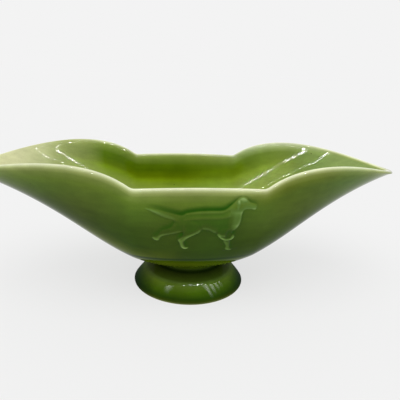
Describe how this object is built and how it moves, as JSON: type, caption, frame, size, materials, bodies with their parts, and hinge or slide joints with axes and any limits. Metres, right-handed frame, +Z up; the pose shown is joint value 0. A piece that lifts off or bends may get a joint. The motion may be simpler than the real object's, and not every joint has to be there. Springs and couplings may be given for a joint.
{
  "type": "pedestal dog bowl",
  "caption": "Long boat-shaped glazed earthenware bowl with raised pointed wings on a low round flared foot, with a walking dog in low relief on the front wall.",
  "frame": {"origin": "centre of the foot ring, in the plane of the table that the foot stands on", "axes": "+Z up; +X along the bowl towards the wing that the dog walks to; the wall with the dog faces -Y"},
  "size_m": [0.38, 0.1364, 0.1219],
  "materials": {
    "bowl_glaze": "glossy",
    "foot_glaze": "glossy",
    "relief_glaze": "glossy"
  },
  "bodies": {
    "root": {"bowl": "bowl_glaze", "pedestal_foot": "foot_glaze", "dog_relief": "relief_glaze"}
  },
  "joints": []
}
